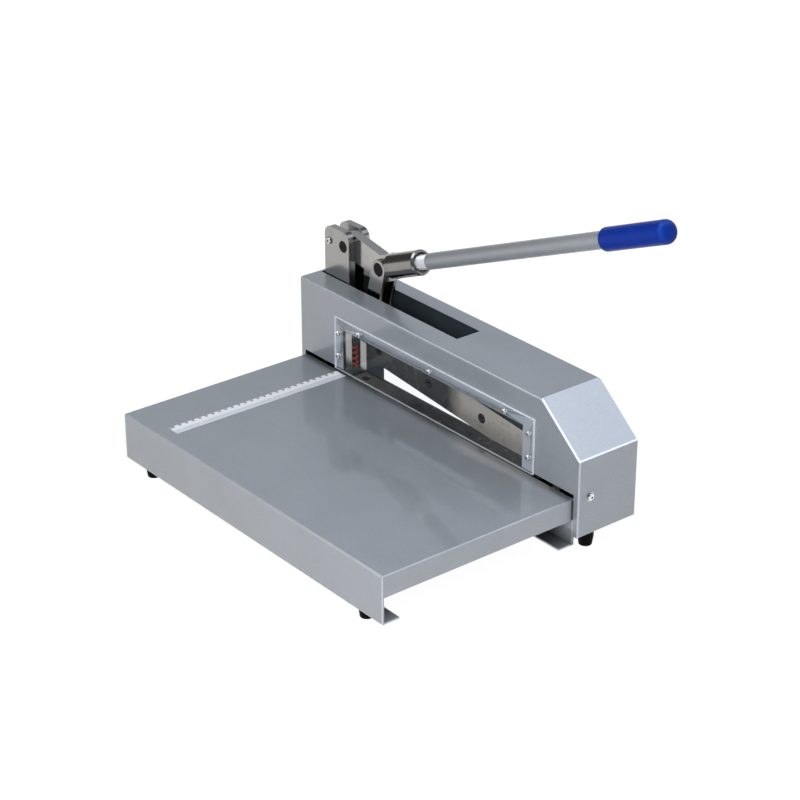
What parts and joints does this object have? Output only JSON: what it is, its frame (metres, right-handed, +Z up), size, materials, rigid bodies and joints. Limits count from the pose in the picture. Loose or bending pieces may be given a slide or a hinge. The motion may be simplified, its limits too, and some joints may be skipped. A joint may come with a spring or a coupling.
{
  "type": "manual shearing machine",
  "caption": "Bench shear for sheet: folded table tray, fixed lower blade and slanted pivoted upper blade under a hood, pulled down by a hand lever through side links.",
  "frame": {"origin": "middle of the whole machine's footprint, on the surface that its feet stand on", "axes": "+X along the blades towards the handle's grip, +Y from the table to the cover's back, +Z up"},
  "size_m": [0.6244, 0.3808, 0.4382],
  "materials": {
    "body_paint": "metallic grey",
    "plated_steel": "nickel plated",
    "dark_steel": "machined",
    "blade_steel": "ground",
    "black_steel": "black oxide",
    "zinc_steel": "zinc plated",
    "bronze": "turned",
    "tube_paint": "metallic grey",
    "blue_grip": "smooth vinyl",
    "black_rubber": "matte",
    "clear_acrylic": "clear",
    "white_strip": "satin print",
    "red_spring": "satin red"
  },
  "bodies": {
    "frame": {"base_tray": "body_paint", "scale_ruler": "white_strip", "tray_bolts": "zinc_steel", "bed_plate": "dark_steel", "bed_rail": "dark_steel", "rail_bolts": "black_steel", "lower_blade": "blade_steel", "lower_blade_screws": "black_steel", "front_post": "plated_steel", "rear_post": "plated_steel", "post_bolts": "black_steel", "post_spacer": "plated_steel", "post_tie_screw": "zinc_steel", "post_tie_nut": "zinc_steel", "main_pivot_pin": "black_steel", "main_pin_clip": "black_steel", "front_pivot_plate": "dark_steel", "rear_pivot_plate": "dark_steel", "plate_bolts": "black_steel", "blade_pivot_bolt": "black_steel", "blade_pivot_nut": "black_steel", "spring_seat": "dark_steel", "return_spring": "red_spring", "cover": "body_paint", "cover_brackets": "dark_steel", "bracket_screws": "zinc_steel", "cover_screws": "zinc_steel", "guard_plate": "clear_acrylic", "guard_screws": "zinc_steel", "guard_nuts": "zinc_steel", "front_feet": "black_rubber", "rear_feet": "black_rubber", "front_foot_screws": "zinc_steel", "front_foot_nuts": "zinc_steel", "rear_foot_screws": "zinc_steel"},
    "lever": {"lever": "plated_steel", "lever_bush": "bronze", "handle_tube": "tube_paint", "hand_grip": "blue_grip", "upper_link_pin": "black_steel", "upper_pin_clip": "black_steel"},
    "links": {"front_link": "plated_steel", "rear_link": "plated_steel"},
    "blade": {"blade_holder": "dark_steel", "pivot_bush": "bronze", "upper_blade": "blade_steel", "blade_bolts": "black_steel", "lower_link_pin": "black_steel", "lower_pin_clip": "black_steel"}
  },
  "joints": [
    {"name": "handle_pivot", "type": "hinge", "parent": "frame", "child": "lever", "pos_m": [-0.25946, 0.14645, 0.2323], "axis": [0, 1, 0], "range_deg": [0, 20.5], "stiffness_Nm_per_rad": 12, "springref_deg": -51.57},
    {"name": "link_pivot", "type": "hinge", "parent": "lever", "child": "links", "pos_m": [-0.19247, 0.14645, 0.22061], "axis": [0, 1, 0], "range_deg": [-24.3, 0]},
    {"name": "blade_pivot", "type": "hinge", "parent": "frame", "child": "blade", "pos_m": [0.18674, 0.14645, 0.09], "axis": [0, 1, 0], "range_deg": [-3.5, 0], "deforming": ["return_spring"]}
  ],
  "couplings": [
    {"joint": "link_pivot", "follows": "handle_pivot", "ratio": -1.1796},
    {"joint": "blade_pivot", "follows": "handle_pivot", "ratio": -0.16827}
  ]
}
